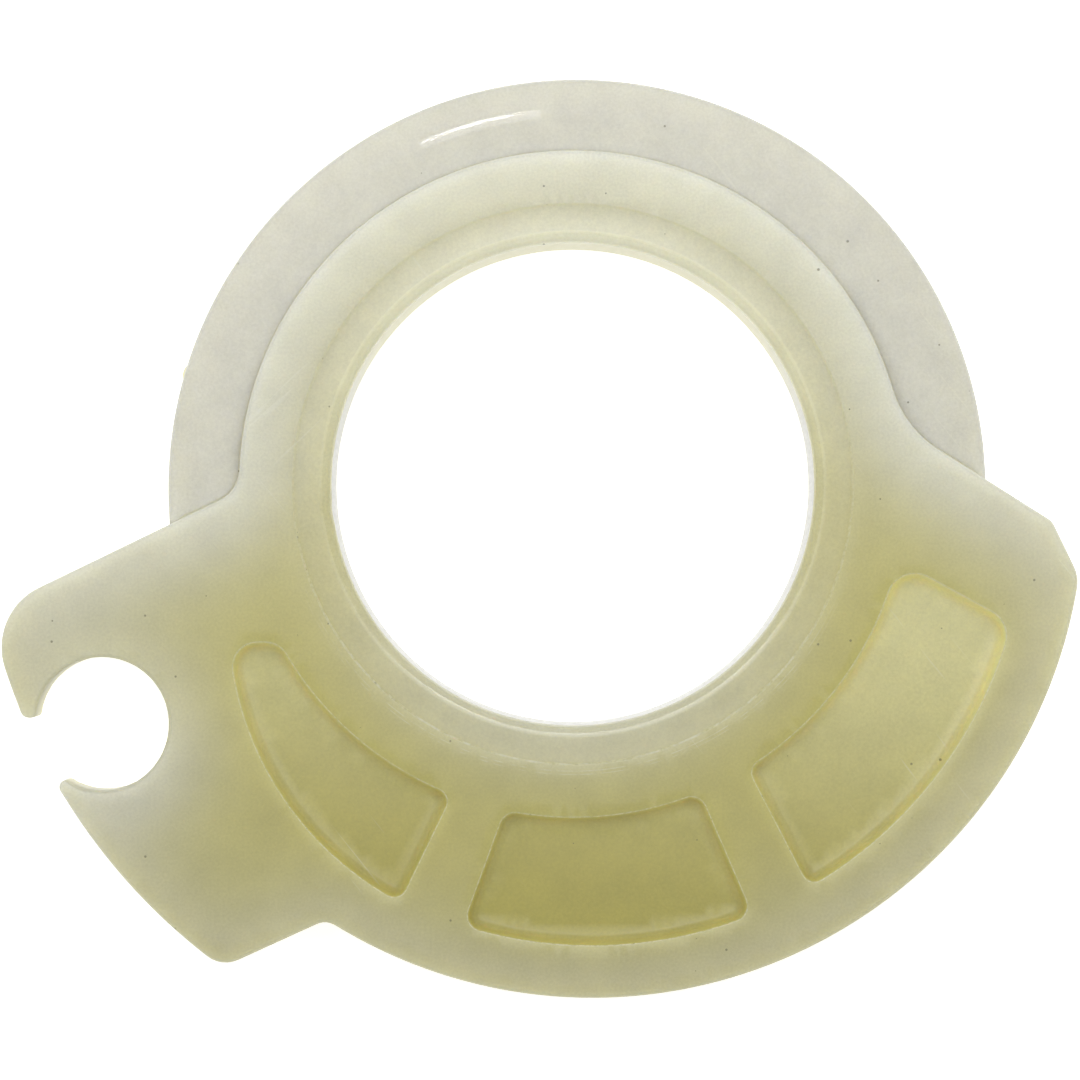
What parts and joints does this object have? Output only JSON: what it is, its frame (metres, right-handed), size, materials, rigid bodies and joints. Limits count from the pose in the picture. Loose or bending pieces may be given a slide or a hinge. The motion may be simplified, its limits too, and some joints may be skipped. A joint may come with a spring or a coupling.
{
  "type": "flanged cam lever",
  "caption": "Flat moulded lever with a large flanged hub bore, a cam-shaped sector with shallow pockets, and an arm that ends in an open snap-in clip.",
  "frame": {"origin": "on the bore's axis, at the end of the rear collar, where the part stands on a flat surface", "axes": "+Z along the bore from the rear collar to the front face with the pockets; +X to the right and +Y up across the front face, with the clip arm at the lower left"},
  "size_m": [0.0781, 0.0668, 0.012],
  "materials": {
    "natural_nylon": "satin natural nylon, translucent, whiter at its free edges and yellower where it is thick"
  },
  "bodies": {
    "root": {"moulded_body": "natural_nylon"}
  },
  "joints": []
}
